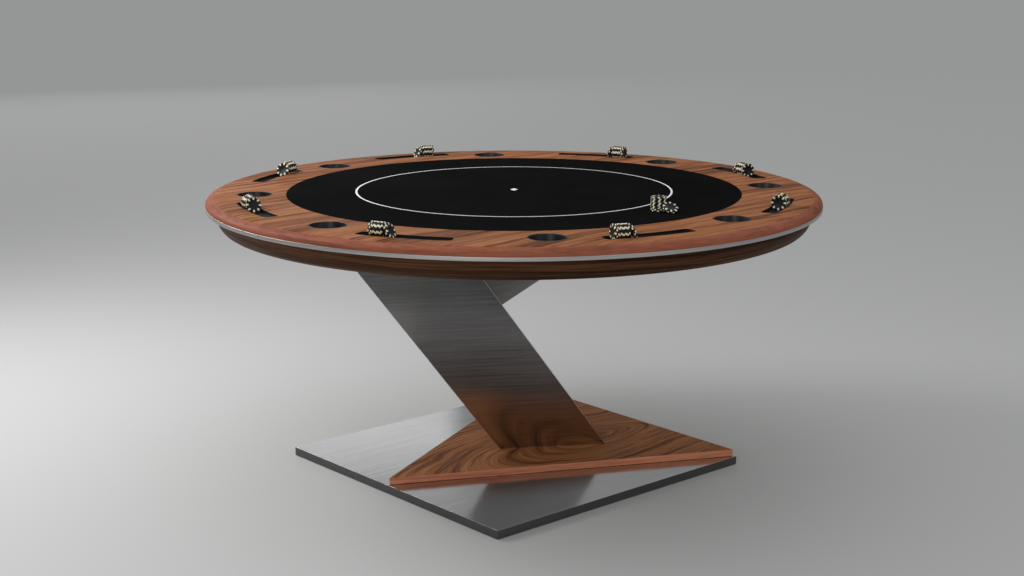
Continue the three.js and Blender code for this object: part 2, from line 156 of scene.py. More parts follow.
def finish_mesh(name, bm, materials):
    """Turns a bmesh into a linked object, smooth apart from its real edges."""
    bmesh.ops.remove_doubles(bm, verts=bm.verts, dist=1e-7)
    bmesh.ops.recalc_face_normals(bm, faces=bm.faces)
    mesh = bpy.data.meshes.new(name)
    bm.to_mesh(mesh)
    bm.free()
    smooth_but_sharp(mesh)
    for material in materials:
        mesh.materials.append(material)
    obj = bpy.data.objects.new(name, mesh)
    bpy.context.scene.collection.objects.link(obj)
    return obj


def place(obj, body, slot, *nodes):
    """Rides a finished piece on its body in place of the CAD nodes that it stands for."""
    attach(obj, body)
    if nodes:
        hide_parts(*nodes)
    return obj


def lathe(bm, profile, steps, centre=(0.0, 0.0)):
    """Revolves a closed (radius, height) profile about a vertical axis through centre."""
    rings = []
    for radius, z in profile:
        if radius < 1e-9:
            rings.append([bm.verts.new((centre[0], centre[1], z))])
            continue
        rings.append([
            bm.verts.new((
                centre[0] + radius * math.cos(math.tau * i / steps),
                centre[1] + radius * math.sin(math.tau * i / steps),
                z,
            ))
            for i in range(steps)
        ])
    pairs = list(zip(rings, rings[1:]))
    if len(rings[0]) > 1:
        pairs.append((rings[-1], rings[0]))
    for low, high in pairs:
        for i in range(steps):
            j = (i + 1) % steps
            corners = [low[i % len(low)], low[j % len(low)], high[j % len(high)], high[i % len(high)]]
            unique = list(dict.fromkeys(corners))
            if len(unique) > 2:
                bm.faces.new(unique)


def loft(bm, loops):
    """Skins a stack of closed loops that have the same number of points, and caps both ends."""
    rows = [[bm.verts.new(point) for point in loop] for loop in loops]
    for low, high in zip(rows, rows[1:]):
        for i in range(len(low)):
            j = (i + 1) % len(low)
            bm.faces.new((low[i], low[j], high[j], high[i]))
    bm.faces.new(list(reversed(rows[0])))
    bm.faces.new(rows[-1])


def quarter(centre, half_width, half_height, start, end, steps, fullness=1.0):
    """Points of an elliptical arc about centre, in degrees. fullness under 1 squares the curve up."""
    points = []
    for i in range(steps + 1):
        angle = math.radians(start + (end - start) * i / steps)
        across, up = (
            math.copysign(abs(value) ** fullness, value) for value in (math.cos(angle), math.sin(angle))
        )
        points.append((centre[0] + half_width * across, centre[1] + half_height * up))
    return points


def softened(profile, radius, steps=3):
    """A closed profile with every corner rounded to radius."""
    points = []
    count = len(profile)
    for i, corner in enumerate(profile):
        here = Vector(corner)
        before = Vector(profile[i - 1]) - here
        after = Vector(profile[(i + 1) % count]) - here
        reach = min(radius, before.length * 0.45, after.length * 0.45)
        start = here + before.normalized() * reach
        end = here + after.normalized() * reach
        for k in range(steps + 1):
            t = k / steps
            points.append(tuple(start * (1 - t) ** 2 + here * 2 * t * (1 - t) + end * t * t))
    return points


def slot_outline(inset, z, arc_steps=28, corner_steps=5):
    """The slot's outline at height z, moved in by inset, for a slot centred on SLOT_ANGLE."""
    inner = SLOT_RADIUS_AT - SLOT_HALF_WIDTH + inset
    outer = SLOT_RADIUS_AT + SLOT_HALF_WIDTH - inset
    corner = max(SLOT_CORNER_RADIUS - inset, 0.0008)
    reach = math.radians(SLOT_HALF_ANGLE) * SLOT_RADIUS_AT - inset
    points = []

    def add(radius, along):
        points.append(polar(radius, SLOT_ANGLE + math.degrees(along / SLOT_RADIUS_AT), z))

    def arc(radius, start, end):
        for i in range(arc_steps + 1):
            add(radius, start + (end - start) * i / arc_steps)

    def turn(radius, along, start):
        for i in range(1, corner_steps):
            angle = math.radians(start + 90 * i / corner_steps)
            add(radius + corner * math.cos(angle), along + corner * math.sin(angle))

    straight = reach - corner
    arc(outer, -straight, straight)
    turn(outer - corner, straight, 0)
    add(outer - corner, reach)
    add(inner + corner, reach)
    turn(inner + corner, straight, 90)
    arc(inner, straight, -straight)
    turn(inner + corner, -straight, 180)
    add(inner + corner, -reach)
    add(outer - corner, -reach)
    turn(outer - corner, -straight, 270)
    return points


def seat_turn(seat):
    """Degrees from the design's first seat to a seat, 1 to 8. Odd seats are set back, even ones on."""
    return (seat - 1) * 360 / SEATS + (SEAT_SHIFT if seat % 2 == 0 else -SEAT_SHIFT)


def at_every_seat(first, prefix):
    """Yields each seat's number and object: first, then copies of it turned about the table's axis."""
    yield 1, first
    for seat in range(2, SEATS + 1):
        other = bpy.data.objects.new(f"{prefix}{seat}", first.data)
        bpy.context.scene.collection.objects.link(other)
        other.matrix_world = Matrix.Rotation(math.radians(seat_turn(seat) - seat_turn(1)), 4, "Z")
        yield seat, other


def refined(node, material, body, slot, bevel=0.0006, segments=2, arris_painted_highlight=None):
    """The CAD node's own shape with its flat faces merged and its edges rounded.

    The last argument is the rounded edges' own material, a painted highlight: a brighter steel that stands
    for the thin bright line that light draws along those edges.
    """
    bm = bmesh.new()
    bm.from_mesh(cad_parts[node].data)
    bmesh.ops.remove_doubles(bm, verts=bm.verts, dist=1e-6)
    bmesh.ops.dissolve_limit(bm, angle_limit=math.radians(1.5), verts=bm.verts, edges=bm.edges)
    obj = finish_mesh(node + "_finish", bm, [material, arris_painted_highlight] if arris_painted_highlight else [material])
    modifier = obj.modifiers.new("edges", "BEVEL")
    # The rounded edges take the painted highlight material.
    if arris_painted_highlight:
        modifier.material = 1
    modifier.width = bevel
    modifier.segments = segments
    modifier.limit_method = "ANGLE"
    modifier.angle_limit = math.radians(SHARP_DEGREES)
    modifier.harden_normals = True
    apply_modifiers(obj)
    return place(obj, body, slot, node)


def cut_with(obj, bm):
    """Takes the closed bodies in bm out of obj."""
    bmesh.ops.recalc_face_normals(bm, faces=bm.faces)
    mesh = bpy.data.meshes.new("cutter")
    bm.to_mesh(mesh)
    bm.free()
    cutter = bpy.data.objects.new("cutter", mesh)
    bpy.context.scene.collection.objects.link(cutter)
    modifier = obj.modifiers.new("holes", "BOOLEAN")
    modifier.operation = "DIFFERENCE"
    modifier.solver = "EXACT"
    modifier.object = cutter
    apply_modifiers(obj)
    bpy.data.objects.remove(cutter)
    smooth_but_sharp(obj.data)


def apply_modifiers(obj):
    depsgraph = bpy.context.evaluated_depsgraph_get()
    mesh = bpy.data.meshes.new_from_object(obj.evaluated_get(depsgraph))
    obj.modifiers.clear()
    obj.data = mesh


# ---------------------------------------------------------------- material helpers
class Shader:
    """A node material whose surface is one Principled shader.

    place is the point on the surface, in the piece's own coordinates.
    """

    def __init__(self, name, **sockets):
        self.material = bpy.data.materials.new(name)
        self.material.use_nodes = True
        self.tree = self.material.node_tree
        self.surface = self.tree.nodes["Principled BSDF"]
        for socket, value in sockets.items():
            self.surface.inputs[socket.replace("_", " ")].default_value = value
        self.place = self.tree.nodes.new("ShaderNodeTexCoord").outputs["Object"]

    def node(self, kind, inputs=None, **settings):
        made = self.tree.nodes.new("ShaderNode" + kind)
        for key, value in settings.items():
            setattr(made, key, value)
        for key, value in (inputs or {}).items():
            self.feed(made.inputs[key], value)
        return made

    def feed(self, socket, value):
        if isinstance(value, bpy.types.NodeSocket):
            self.tree.links.new(value, socket)
        else:
            socket.default_value = value

    def maths(self, operation, a, b=0.0, c=0.0):
        return self.node("Math", {0: a, 1: b, 2: c}, operation=operation).outputs[0]

    def scaled(self, scale, rotation=(0, 0, 0), location=(0, 0, 0), source=None):
        inputs = {"Vector": source or self.place, "Scale": scale, "Rotation": rotation, "Location": location}
        return self.node("Mapping", inputs).outputs[0]

    def noise(self, vector, scale=1.0, detail=3.0, roughness=0.5, distortion=0.0):
        inputs = {
            "Vector": vector, "Scale": scale, "Detail": detail,
            "Roughness": roughness, "Distortion": distortion,
        }
        return self.node("TexNoise", inputs).outputs["Fac"]

    def ramp(self, factor, *stops):
        made = self.node("ValToRGB", {"Fac": factor})
        elements = made.color_ramp.elements
        while len(elements) < len(stops):
            elements.new(0.5)
        for element, (position, value) in zip(elements, stops):
            element.position = position
            element.color = (*value, 1) if hasattr(value, "__len__") else (value, value, value, 1)
        return made.outputs["Color"]

    def mix(self, factor, a, b, blend="MIX"):
        made = self.node("Mix", data_type="RGBA", blend_type=blend)
        self.feed(made.inputs[0], factor)
        self.feed(made.inputs[6], a)
        self.feed(made.inputs[7], b)
        return made.outputs[2]

    def spread(self, factor, low, high):
        """Maps the middle of a noise's range, 0.3 to 0.7, onto low to high."""
        return self.node("MapRange", {0: factor, 1: 0.3, 2: 0.7, 3: low, 4: high}).outputs[0]

    def separate(self, vector):
        return self.node("SeparateXYZ", {0: vector}).outputs

    def bump(self, height, strength, distance):
        made = self.node("Bump", {"Height": height, "Strength": strength, "Distance": distance})
        self.feed(self.surface.inputs["Normal"], made.outputs["Normal"])

    def out(self, socket, value):
        self.feed(self.surface.inputs[socket], value)


def walnut(name, light, middle, dark, grain, ratios, seed, veins=0.6, pitch=1.0, roughness=0.48):
    """Oiled walnut.

    grain(s) gives the place in the wood, with X across the grain, and ratios slow the pattern down along Y
    and Z. pitch packs the growth lines closer, and veins is how strongly the dark ones show.
    """
    s = Shader(name, Roughness=roughness, Specular_IOR_Level=0.05)
    place_in_wood = grain(s)

    def layer(scale, detail=2.0, roughness=0.55, distortion=0.0, offset=0.0):
        scales = tuple(scale * ratio for ratio in (1.0, *ratios))
        return s.noise(s.scaled(scales, location=(seed + offset, seed, 0), source=place_in_wood),
                       1.0, detail, roughness, distortion)

    board = layer(5.0 * pitch, 2.0)
    band = layer(22.0 * pitch, 2.0, 0.5, 0.3, 3.1)
    line = layer(75.0 * pitch, 2.0, 0.6, 0.4, 7.7)
    fine = layer(230.0, 3.0, 0.6)
    fibre = layer(700.0, 2.0, 0.5)
    vein = layer(36.0 * pitch, 3.0, 0.6, 0.6, 12.3)
    tone = s.maths("ADD", s.maths("MULTIPLY", band, 0.38), s.maths("MULTIPLY", line, 0.42))
    tone = s.maths("MULTIPLY_ADD", fine, 0.20, tone)
    colour = s.ramp(tone, (0.385, dark), (0.465, middle), (0.55, light), (0.64, middle))
    redder = s.mix(1.0, colour, (0.78, 0.66, 0.60, 1), "MULTIPLY")
    colour = s.mix(s.ramp(board, (0.35, 0.0), (0.70, 0.55)), colour, redder)
    streak = s.ramp(vein, (0.53, 0.0), (0.62, veins))
    colour = s.mix(streak, colour, (*(v * 0.55 for v in dark), 1))
    pored = s.mix(1.0, colour, s.ramp(fibre, (0.30, 0.60), (0.62, 1.15)), "MULTIPLY")
    s.out("Base Color", s.mix(0.6, colour, pored))
    s.out("Roughness", s.spread(fine, roughness + 0.07, roughness - 0.06))
    s.bump(s.maths("MULTIPLY_ADD", fibre, 0.6, s.maths("MULTIPLY", fine, 0.4)), 0.14, 0.0004)
    return s.material


def wavy(s, amount, seed):
    """The surface point's x, y and z, with x wandering so that no grain line is straight."""
    x, y, z = s.separate(s.place)[:3]
    drift = s.noise(s.scaled((2.4, 1.7, 2.4), location=(seed, seed, 0)), 1.0, 3.0, 0.55)
    return s.maths("MULTIPLY_ADD", drift, amount, x), y, z


def straight_grain(s):
    """Grain along Y, right across the top."""
    x, y, z = wavy(s, 0.10, 3)
    return s.node("CombineXYZ", {0: x, 1: y, 2: z}).outputs[0]


def swirled_grain(s):
    """Grain along Y that turns round a crotch, as in a slab cut where a branch left the trunk.

    CROTCH_OFFSET makes up for wavy(), which moves the pattern by about that much.
    """
    x, y, z = wavy(s, 0.16, 11)
    aside = s.maths("SUBTRACT", x, CROTCH_AT[0] + CROTCH_OFFSET)
    along = s.maths("MULTIPLY", s.maths("SUBTRACT", y, CROTCH_AT[1]), CROTCH_SLENDERNESS)
    ring = s.maths("SQRT", s.maths("MULTIPLY_ADD", aside, aside, s.maths("MULTIPLY", along, along)))
    return s.node("CombineXYZ", {0: ring, 1: y, 2: z}).outputs[0]


def bent_grain(s):
    """Grain that follows a bent strip: its lines run level and are packed down the curve."""
    x, y, z = s.separate(s.place)[:3]
    radius = s.maths("SQRT", s.maths("MULTIPLY_ADD", x, x, s.maths("MULTIPLY", y, y)))
    across = s.maths("MULTIPLY_ADD", radius, 0.5, z)
    drift = s.noise(s.scaled((1.6, 1.6, 1.6), location=(4, 9, 0)), 1.0, 2.0, 0.5)
    return s.node("CombineXYZ", {0: s.maths("MULTIPLY_ADD", drift, 0.03, across), 1: x, 2: y}).outputs[0]


def level_grain(s):
    """Grain that runs level along a straight edge."""
    x, y, z = s.separate(s.place)[:3]
    return s.node("CombineXYZ", {0: z, 1: x, 2: y}).outputs[0]


def brushed(name, colour, roughness, across, contrast=0.16, spread=0.06, painted_shade=()):
    """Long-line brushed metal. across is 0, 1 or 2: the axis that the lines are packed along.

    The last argument is stops of (height, share of the tone): painted shade, which darkens the metal by
    height, standing in for reflections that fall darker up it.
    """
    s = Shader(name, Base_Color=(*colour, 1), Metallic=1.0, Roughness=roughness)

    def lines(packed, along, offset=0.0):
        scale = tuple(packed if axis == across else along for axis in range(3))
        return s.noise(s.scaled(scale, location=(offset, offset, offset)), 1.0, 3.0, 0.6)

    hair = lines(1500.0, 9.0)
    streaks = lines(420.0, 3.5, 5.0)
    broad = lines(60.0, 1.2, 9.0)
    smudge = s.noise(s.scaled((3.0, 3.0, 3.0)), 1.0, 3.0, 0.5)
    coarse = s.maths("MULTIPLY_ADD", streaks, 0.5, s.maths("MULTIPLY", broad, 0.2))
    shade = s.maths("MULTIPLY_ADD", hair, 0.3, coarse)
    low = tuple(v * (1 - contrast) for v in colour)
    high = tuple(min(1.0, v * (1 + contrast)) for v in colour)
    tone = s.ramp(shade, (0.35, low), (0.65, high))
    # Painted shade: the tone is darkened by height, in the piece's own coordinates.
    if painted_shade:
        tone = s.mix(1.0, tone, s.ramp(s.separate(s.place)[2], *painted_shade), "MULTIPLY")
    s.out("Base Color", tone)
    wear = s.maths("MULTIPLY_ADD", streaks, 0.6, s.maths("MULTIPLY", smudge, 0.4))
    s.out("Roughness", s.spread(wear, roughness - spread, roughness + spread))
    s.bump(s.maths("MULTIPLY_ADD", streaks, 0.6, s.maths("MULTIPLY", hair, 0.4)), 0.08, 0.0003)
    return s.material


def coated(name, colour, roughness, grain=(900.0, 900.0, 900.0), specular=0.45):
    """Paint, plating or rubber: one cloudy colour with a fine texture, whose scale by axis is grain."""
    s = Shader(name, Base_Color=(*colour, 1), Roughness=roughness, Specular_IOR_Level=specular)
    fine = s.noise(s.scaled(grain), 1.0, 2.0, 0.6)
    cloudy = s.noise(s.scaled((14.0, 14.0, 14.0)), 1.0, 3.0, 0.5)
    low, high = (tuple(v * share for v in colour) for share in (0.8, 1.3))
    s.out("Base Color", s.ramp(cloudy, (0.3, low), (0.7, high)))
    s.out("Roughness", s.spread(cloudy, roughness - 0.05, roughness + 0.07))
    s.bump(fine, 0.16, 0.0003)
    return s.material


def playing_cloth_material():
    """Black woven cloth with a thin white ring and a small lozenge printed at the centre."""
    s = Shader("playing_cloth", Roughness=0.9, Specular_IOR_Level=0.0)
    x, y, _ = s.separate(s.place)[:3]
    flat = s.scaled((1, 1, 0))
    threads, picks = (
        s.node("TexWave", {"Vector": flat, "Scale": 330.0}, bands_direction=axis).outputs["Fac"]
        for axis in "XY"
    )
    weave = s.maths("MULTIPLY", threads, picks)
    nap = s.noise(s.scaled((260.0, 260.0, 260.0)), 1.0, 3.0, 0.6)
    wide = s.noise(s.scaled((4.0, 4.0, 4.0)), 1.0, 2.0, 0.5)
    shade = s.maths("ADD", s.maths("MULTIPLY", nap, 0.6), s.maths("MULTIPLY", wide, 0.4))
    cloth = s.ramp(shade, (0.3, (0.0052, 0.0053, 0.0056)), (0.7, (0.0105, 0.0105, 0.0110)))
    radius = s.maths("SQRT", s.maths("ADD", s.maths("MULTIPLY", x, x), s.maths("MULTIPLY", y, y)))
    off_line = s.maths("ABSOLUTE", s.maths("SUBTRACT", radius, RING_RADIUS))
    on_line = s.maths("LESS_THAN", off_line, RING_WIDTH / 2)
    turned = s.separate(s.scaled((1, 1, 1), rotation=(0, 0, math.radians(-MARK_TURN))))
    shares = [
        s.maths("DIVIDE", s.maths("ABSOLUTE", value), half) for value, half in zip(turned[:2], MARK_HALF)
    ]
    lozenge = s.maths("ADD", *shares)
    in_mark = s.maths("LESS_THAN", lozenge, 1.0)
    ink = s.ramp(nap, (0.3, (0.82, 0.82, 0.81)), (0.7, (0.93, 0.93, 0.92)))
    s.out("Base Color", s.mix(s.maths("MAXIMUM", on_line, in_mark), cloth, ink))
    s.bump(s.maths("ADD", weave, s.maths("MULTIPLY", nap, 0.7)), 0.25, 0.0003)
    return s.material


def chip_material(name, dark, light):
    s = Shader(name, Roughness=0.46, Specular_IOR_Level=0.15)
    speckle = s.noise(s.scaled((650.0, 650.0, 650.0)), 1.0, 3.0, 0.6)
    grime = s.noise(s.scaled((60.0, 60.0, 60.0)), 1.0, 2.0, 0.5)
    tone = s.maths("ADD", s.maths("MULTIPLY", speckle, 0.5), s.maths("MULTIPLY", grime, 0.5))
    s.out("Base Color", s.ramp(tone, (0.32, dark), (0.62, light)))
    s.out("Roughness", s.spread(grime, 0.40, 0.55))
    s.bump(speckle, 0.15, 0.0002)
    return s.material


def fibreboard_material():
    s = Shader("fibreboard", Roughness=0.85, Specular_IOR_Level=0.2)
    flecks = s.noise(s.scaled((420.0, 420.0, 420.0)), 1.0, 4.0, 0.7)
    clouds = s.noise(s.scaled((7.0, 7.0, 7.0)), 1.0, 3.0, 0.5)
    tone = s.maths("ADD", s.maths("MULTIPLY", flecks, 0.55), s.maths("MULTIPLY", clouds, 0.45))
    s.out("Base Color", s.ramp(tone, (0.35, (0.10, 0.070, 0.045)), (0.65, (0.17, 0.125, 0.08))))
    s.bump(flecks, 0.2, 0.0004)
    return s.material


MATERIALS = {
    "rail": walnut(
        "rail_walnut", (0.440, 0.175, 0.068), (0.262, 0.094, 0.036), (0.105, 0.034, 0.013),
        straight_grain, ratios=(0.036, 0.5), seed=3, veins=0.72,
    ),
    "lipping": walnut(
        "lipping_walnut", (0.345, 0.115, 0.066), (0.285, 0.090, 0.052), (0.200, 0.060, 0.036),
        bent_grain, ratios=(0.030, 0.030), seed=5, veins=0.15,
    ),
    "wedge": walnut(
        "wedge_walnut", (0.450, 0.185, 0.070), (0.310, 0.122, 0.046), (0.125, 0.046, 0.018),
        swirled_grain, ratios=(0.030, 0.4), seed=11, veins=0.65, pitch=2.6,
    ),
    # The wedge's outer sides: walnut with level grain along the edge, and painted light, about twice as light
    # as the top, for the light falling on them.
    "wedge_side_painted_light": walnut(
        "wedge_side_painted_light_walnut", (0.72, 0.300, 0.172), (0.63, 0.248, 0.142), (0.50, 0.184, 0.104),
        level_grain, ratios=(0.030, 0.030), seed=8, veins=0.1,
    ),
    "apron": walnut(
        "apron_walnut", (0.150, 0.070, 0.034), (0.080, 0.036, 0.018), (0.036, 0.015, 0.008),
        bent_grain, ratios=(0.020, 0.020), seed=7, veins=0.5,
    ),
    # The column's steel carries painted shade, darker towards its head.
    "leg": brushed(
        "leg_steel", (0.60, 0.59, 0.585), 0.24, across=2, contrast=0.30, spread=0.03, painted_shade=LEG_PAINTED_SHADE,
    ),
    "plate": brushed("plate_steel", (0.52, 0.52, 0.525), 0.14, across=0),
    # Painted shade: a dark steel for the base plate's upright sides, standing for the dark reflections on
    # them.
    "plate_side_painted_shade": brushed("plate_side_painted_shade_steel", (0.13, 0.13, 0.13), 0.42, across=2, contrast=0.08),
    # Painted highlight: brighter steel for the rounded edges of the plate and the column, standing for the
    # bright line that light draws along them.
    "arris_painted_highlight": brushed("arris_painted_highlight_steel", (0.85, 0.85, 0.85), 0.34, across=2, contrast=0.05),
    "band": brushed("band_steel", (0.52, 0.51, 0.50), 0.42, across=2, contrast=0.08),
    "zinc": coated("zinc_steel", (0.30, 0.30, 0.31), 0.45),
    "black_metal": coated("black_metal", (0.015, 0.016, 0.017), 0.36, grain=(900.0, 900.0, 25.0)),
    "liner": coated("liner_black", (0.006, 0.0065, 0.007), 0.50, grain=(700.0, 700.0, 700.0), specular=0.13),
    "cloth": playing_cloth_material(),
    "chip": chip_material("chip_black", (0.011, 0.011, 0.013), (0.022, 0.022, 0.025)),
    "spot": chip_material("chip_cream", (0.93, 0.85, 0.56), (1.0, 0.95, 0.72)),
    "rubber": coated("pad_rubber", (0.02, 0.02, 0.02), 0.8, grain=(600.0, 600.0, 600.0)),
    "board": fibreboard_material(),
}


# ---------------------------------------------------------------- base and pedestal
def make_base():
    # The plate's rounded top edges take the painted highlight steel.
    plate = refined("base_plate", MATERIALS["plate"], "table", "brushed_steel",
                    bevel=CHAMFER_PLATE, segments=1, arris_painted_highlight=MATERIALS["arris_painted_highlight"])
    plate.data.materials.append(MATERIALS["plate_side_painted_shade"])
    # The plate's upright sides take the dark steel of painted shade.
    for face in plate.data.polygons:
        upright = abs(face.normal.z) < 0.3
        if upright:
            face.material_index = 2
    for i in range(1, 5):
        refined(f"floor_pad_{i}", MATERIALS["rubber"], "table", "pad_rubber", bevel=0.0004)
    for i in range(1, 4):
        refined(f"foot_bolt_{i}", MATERIALS["zinc"], "table", "zinc_steel", bevel=0.0004)


def wedge_outline(inset, z, steps=8):
    """The wedge's triangle, its tips a little rounded, at height z and moved in by inset."""
    tips = [Vector(tip) for tip in WEDGE_TIPS]
    points = []
    for i, tip in enumerate(tips):
        before, after = ((other - tip).normalized() for other in (tips[i - 1], tips[(i + 1) % len(tips)]))
        half = before.angle(after) / 2
        corner = tip + (before + after).normalized() * inset / math.sin(half)
        setback = max(WEDGE_TIP_RADIUS - inset, 0.0004) / math.tan(half)
        start, end = corner + before * setback, corner + after * setback
        for k in range(steps + 1):
            t = k / steps
            at = start * (1 - t) ** 2 + corner * 2 * t * (1 - t) + end * t * t
            points.append(Vector((at.x, at.y, z)))
    return points


def make_wedge():
    low, high = (corner.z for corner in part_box("base_wedge"))
    soft, foot = 0.0025, 0.0008
    stack = [(foot, low), (0, low + foot)]
    stack += [(soft - reach, high - soft + rise) for reach, rise in quarter((0, 0), soft, soft, 0, 90, 6)]
    bm = bmesh.new()
    loft(bm, [wedge_outline(inset, z) for inset, z in stack])
    wedge = finish_mesh("wedge", bm, [MATERIALS["wedge"], MATERIALS["wedge_side_painted_light"]])
    bm = bmesh.new()
    for i in range(1, 4):
        bolt_low, bolt_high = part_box(f"foot_bolt_{i}")
        middle = (bolt_low + bolt_high) / 2
        bottom, top = low - CUTTER_REACH, high + CUTTER_REACH
        hole = [(0, bottom), (BOLT_HOLE_RADIUS, bottom), (BOLT_HOLE_RADIUS, top), (0, top)]
        lathe(bm, hole, 32, (middle.x, middle.y))
    cut_with(wedge, bm)
    # The wedge's outer sides and rounded top edge take the lighter walnut of painted light; the bolt holes
    # keep the top's walnut.
    bolts_within = 0.19
    for face in wedge.data.polygons:
        outside = abs(face.normal.z) < 0.7 and face.center.xy.length > bolts_within
        face.material_index = 1 if outside else 0
    place(wedge, "table", "walnut", "base_wedge")


def make_pedestal():
    for node in ("leg_front_panel", "leg_rear_panel", "leg_back_panel"):
        # The leg panels' rounded edges get the painted highlight steel.
        refined(node, MATERIALS["leg"], "table", "brushed_steel", bevel=CHAMFER_LEG, arris_painted_highlight=MATERIALS["arris_painted_highlight"])
    for node in ("arm_front_panel", "arm_rear_panel", "arm_nose_plate"):
        refined(node, MATERIALS["leg"], "table", "brushed_steel", bevel=0.0005)
    for node in ("leg_foot_flange", "head_plate", *(f"head_bolt_{i}" for i in range(1, 5))):
        refined(node, MATERIALS["zinc"], "table", "zinc_steel", bevel=0.0005)


# ---------------------------------------------------------------- top
def rail_cutters():
    """One bmesh with the eight cup holes and the eight slots, each a closed body."""
    over = CUTTER_REACH
    chamfer = EDGE_BREAK
    ledge = RAIL_TOP - CUP_FLANGE_THICKNESS - GAP
    bm = bmesh.new()
    for seat in range(1, SEATS + 1):
        centre = polar(CUP_RADIUS_AT, CUP_ANGLE + seat_turn(seat))
        bore = CUP_BODY_RADIUS + GAP
        flange = CUP_FLANGE_RADIUS + GAP
        lathe(bm, [
            (0, BAND_LOW.z - over), (bore, BAND_LOW.z - over), (bore, ledge), (flange, ledge),
            (flange, RAIL_TOP - chamfer), (flange + chamfer + over, RAIL_TOP + over), (0, RAIL_TOP + over),
        ], SMALL_STEPS, centre)
        turn = Matrix.Rotation(math.radians(seat_turn(seat)), 3, "Z")
        floor = TROUGH_LOW.z - 0.0002
        loops = [
            slot_outline(0, floor),
            slot_outline(0, RAIL_TOP - chamfer),
            slot_outline(-chamfer - over, RAIL_TOP + over),
        ]
        loft(bm, [[turn @ point for point in loop] for loop in loops])
    return bm


def make_rail():
    shoulder = quarter(
        (RAIL_FLAT_RADIUS, BAND_HIGH.z + GAP),
        RADIUS - GAP - RAIL_FLAT_RADIUS,
        RAIL_TOP - BAND_HIGH.z - GAP,
        0, 90, 24, SHOULDER_FULLNESS,
    )
    rabbet = RADIUS - BAND_DEPTH - GAP
    core_edge = CORE_HIGH.x + GAP
    inner = BOARD_RADIUS + GAP
    edge = EDGE_BREAK
    profile = [
        (core_edge, BAND_LOW.z),
        (rabbet, BAND_LOW.z),
        (rabbet, BAND_HIGH.z + GAP),
        *shoulder,
        *quarter((inner + edge, RAIL_TOP - edge), edge, edge, 90, 180, 3),
        (inner, CORE_HIGH.z + GAP),
        (core_edge, CORE_HIGH.z + GAP),
    ]
    bm = bmesh.new()
    lathe(bm, profile, LATHE_STEPS)
    ring = finish_mesh("rail", bm, [MATERIALS["rail"], MATERIALS["lipping"]])
    cut_with(ring, rail_cutters())
    for face in ring.data.polygons:
        outer = face.center.xy.length > RAIL_FLAT_RADIUS and face.center.z > BAND_LOW.z
        face.material_index = 1 if outer and face.normal.z < LIPPING_NORMAL else 0
    place(ring, "table", "walnut", *(f"rail_segment_{i}" for i in range(1, SEATS + 1)))


def make_band_and_apron():
    bm = bmesh.new()
    inner = RADIUS - BAND_DEPTH
    lathe(bm, softened([
        (inner, BAND_LOW.z), (RADIUS, BAND_LOW.z), (RADIUS, BAND_HIGH.z), (inner, BAND_HIGH.z),
    ], EDGE_BREAK), LATHE_STEPS)
    place(finish_mesh("edge_band", bm, [MATERIALS["band"]]), "table", "brushed_steel", "steel_band")

    bm = bmesh.new()
    curve = quarter((APRON_FOOT_RADIUS, APRON_HIGH.z), APRON_HIGH.x - APRON_FOOT_RADIUS,
                    APRON_HIGH.z - APRON_LOW.z, -90, 0, 20)
    lathe(bm, [(APRON_INNER_RADIUS, APRON_LOW.z + 0.001), (APRON_INNER_RADIUS + 0.001, APRON_LOW.z),
               *curve, (APRON_INNER_RADIUS, APRON_HIGH.z)], LATHE_STEPS)
    place(finish_mesh("apron", bm, [MATERIALS["apron"]]), "table", "dark_walnut", "apron_ring")


def make_playing_surface():
    edge = 0.0009
    bm = bmesh.new()
    lathe(bm, [
        (0, CLOTH_LOW.z), (BOARD_RADIUS, CLOTH_LOW.z),
        *quarter((BOARD_RADIUS - edge, CLOTH_HIGH.z - edge), edge, edge, 0, 90, 3),
        (0, CLOTH_HIGH.z),
    ], LATHE_STEPS)
    cloth = finish_mesh("cloth", bm, [MATERIALS["cloth"]])
    place(cloth, "playing_surface", "black_cloth", "playing_cloth")

    low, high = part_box("playing_board")
    bm = bmesh.new()
    lathe(bm, [(0, low.z), (BOARD_RADIUS - 0.001, low.z), (BOARD_RADIUS, low.z + 0.001),
               (BOARD_RADIUS, high.z), (0, high.z)], LATHE_STEPS)
    place(finish_mesh("board", bm, [MATERIALS["board"]]), "playing_surface", "board", "playing_board")
    refined("core_board", MATERIALS["board"], "table", "board", bevel=0.0010)


def make_cups():
    floor = CUP_LOW.z
    bore = CUP_BODY_RADIUS - CUP_WALL
    ledge = RAIL_TOP - CUP_FLANGE_THICKNESS
    fillet = 0.007
    lip = 0.0006
    centre = polar(CUP_RADIUS_AT, CUP_ANGLE + seat_turn(1))
    bm = bmesh.new()
    lathe(bm, [
        (0, floor),
        *quarter((CUP_BODY_RADIUS - fillet, floor + fillet), fillet, fillet, -90, 0, 6),
        (CUP_BODY_RADIUS, ledge),
        (CUP_FLANGE_RADIUS, ledge),
        *quarter((CUP_FLANGE_RADIUS - lip, RAIL_TOP - lip), lip, lip, 0, 90, 3),
        *quarter((bore + lip, RAIL_TOP - lip), lip, lip, 90, 180, 3),
        *quarter((bore - fillet, floor + CUP_WALL + fillet), fillet, fillet, 0, -90, 6),
        (0, floor + CUP_WALL),
    ], SMALL_STEPS, centre)
    first = finish_mesh("cup_insert_1", bm, [MATERIALS["black_metal"]])
    for seat, cup in at_every_seat(first, "cup_insert_"):
        place(cup, f"cup_{seat}", "black_metal", f"cup_{seat}")


